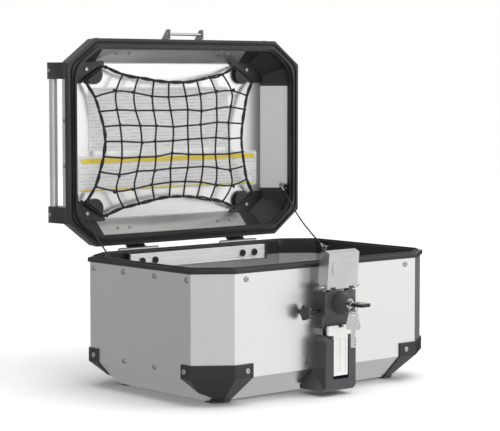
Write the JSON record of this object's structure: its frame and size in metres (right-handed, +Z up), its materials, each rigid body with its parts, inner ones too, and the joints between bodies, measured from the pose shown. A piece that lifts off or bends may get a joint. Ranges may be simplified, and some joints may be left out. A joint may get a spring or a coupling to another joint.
{
  "type": "top case",
  "caption": "Aluminium motorcycle top case with chamfered corners, hinged lid held open by stay cables, hook latch with key lock, release lever and cargo net.",
  "frame": {"origin": "centre of the flat underside that rests on the rack", "axes": "+Z up, +X right when facing the lock, -Y towards the lock side; the lid is open at rest"},
  "size_m": [0.571, 0.549, 0.644],
  "materials": {
    "aluminium_panel": "brushed, fine vertical grain",
    "black_plastic": "fine moulded texture",
    "lock_plastic": "smooth satin moulding",
    "knob_plastic": "smooth moulding",
    "white_plastic": "smooth moulding",
    "satin_aluminium": "satin, fine sideways grain",
    "extruded_aluminium": "drawn, anodised",
    "steel": "zinc plated",
    "bright_steel": "turned, bright",
    "seal_rubber": "soft, matt",
    "net_cord": "braided elastic",
    "cable_sleeve": "smooth sleeve over steel cable"
  },
  "bodies": {
    "base": {"base_cable_anchors": "bright_steel", "base_hinge_left": "steel", "base_hinge_right": "steel", "base_rim": "black_plastic", "floor_pan": "aluminium_panel", "front_panel": "aluminium_panel", "guard_front_left": "black_plastic", "guard_front_right": "black_plastic", "guard_rear_left": "black_plastic", "guard_rear_right": "black_plastic", "guard_screws": "bright_steel", "hinge_pins": "bright_steel", "hinge_rail": "extruded_aluminium", "latch_pin": "bright_steel", "latch_spring": "bright_steel", "left_panel": "aluminium_panel", "lock_bezel": "lock_plastic", "lock_block": "lock_plastic", "lock_cover": "lock_plastic", "rack_plate": "black_plastic", "rail_caps": "black_plastic", "rear_panel": "aluminium_panel", "release_housing": "lock_plastic", "release_pins": "bright_steel", "release_strap": "steel", "right_panel": "aluminium_panel", "stay_cable_left": "cable_sleeve", "stay_cable_right": "cable_sleeve", "wall_rivets": "bright_steel"},
    "lid": {"cargo_net": "net_cord", "handle_bar_left": "extruded_aluminium", "handle_bar_right": "extruded_aluminium", "lid_cable_anchors": "bright_steel", "lid_frame": "black_plastic", "lid_front_panel": "aluminium_panel", "lid_guard_front_left": "black_plastic", "lid_guard_front_right": "black_plastic", "lid_guard_rear_left": "black_plastic", "lid_guard_rear_right": "black_plastic", "lid_guard_screws": "bright_steel", "lid_gussets": "black_plastic", "lid_hinge_left": "steel", "lid_hinge_right": "steel", "lid_left_panel": "aluminium_panel", "lid_rear_panel": "aluminium_panel", "lid_right_panel": "aluminium_panel", "lid_rivets": "bright_steel", "lid_seal": "seal_rubber", "lid_top_panel": "aluminium_panel", "net_plates": "black_plastic", "striker_bracket": "steel", "striker_pin": "bright_steel"},
    "latch": {"latch_plate": "satin_aluminium"},
    "lock_core": {"lock_cylinder": "bright_steel", "key": "knob_plastic"},
    "spare_keys": {"key_ring": "bright_steel", "spare_key": "bright_steel"},
    "release_lever_body": {"release_lever": "white_plastic"},
    "release_hook_body": {"release_hook": "steel"},
    "side_knob_body": {"side_knob": "knob_plastic"}
  },
  "joints": [
    {"name": "lid_hinge", "type": "hinge", "parent": "base", "child": "lid", "pos_m": [0, 0.2, 0.235], "axis": [1, 0, 0], "range_deg": [0, 90], "deforming": ["stay_cable_left", "stay_cable_right"]},
    {"name": "latch_hinge", "type": "hinge", "parent": "base", "child": "latch", "pos_m": [0, -0.212, 0.192], "axis": [1, 0, 0], "range_deg": [-5, 25]},
    {"name": "lock_turn", "type": "hinge", "parent": "base", "child": "lock_core", "pos_m": [0, -0.217, 0.164], "axis": [0, -1, 0], "range_deg": [0, 90]},
    {"name": "key_ring_swing", "type": "hinge", "parent": "lock_core", "child": "spare_keys", "pos_m": [-0.0117, -0.262, 0.164], "axis": [0, 1, 0], "range_deg": [-15, 90]},
    {"name": "release_lever_hinge", "type": "hinge", "parent": "base", "child": "release_lever_body", "pos_m": [0, -0.207, 0.042], "axis": [1, 0, 0], "range_deg": [0, 30]},
    {"name": "release_hook_hinge", "type": "hinge", "parent": "base", "child": "release_hook_body", "pos_m": [0, -0.182, 0.02], "axis": [1, 0, 0], "range_deg": [-15, 0]},
    {"name": "side_knob_turn", "type": "hinge", "parent": "base", "child": "side_knob_body", "pos_m": [-0.05, -0.202, 0.15], "axis": [-1, 0, 0], "continuous": true}
  ],
  "couplings": [
    {"joint": "release_hook_hinge", "follows": "release_lever_hinge", "ratio": -0.5}
  ]
}
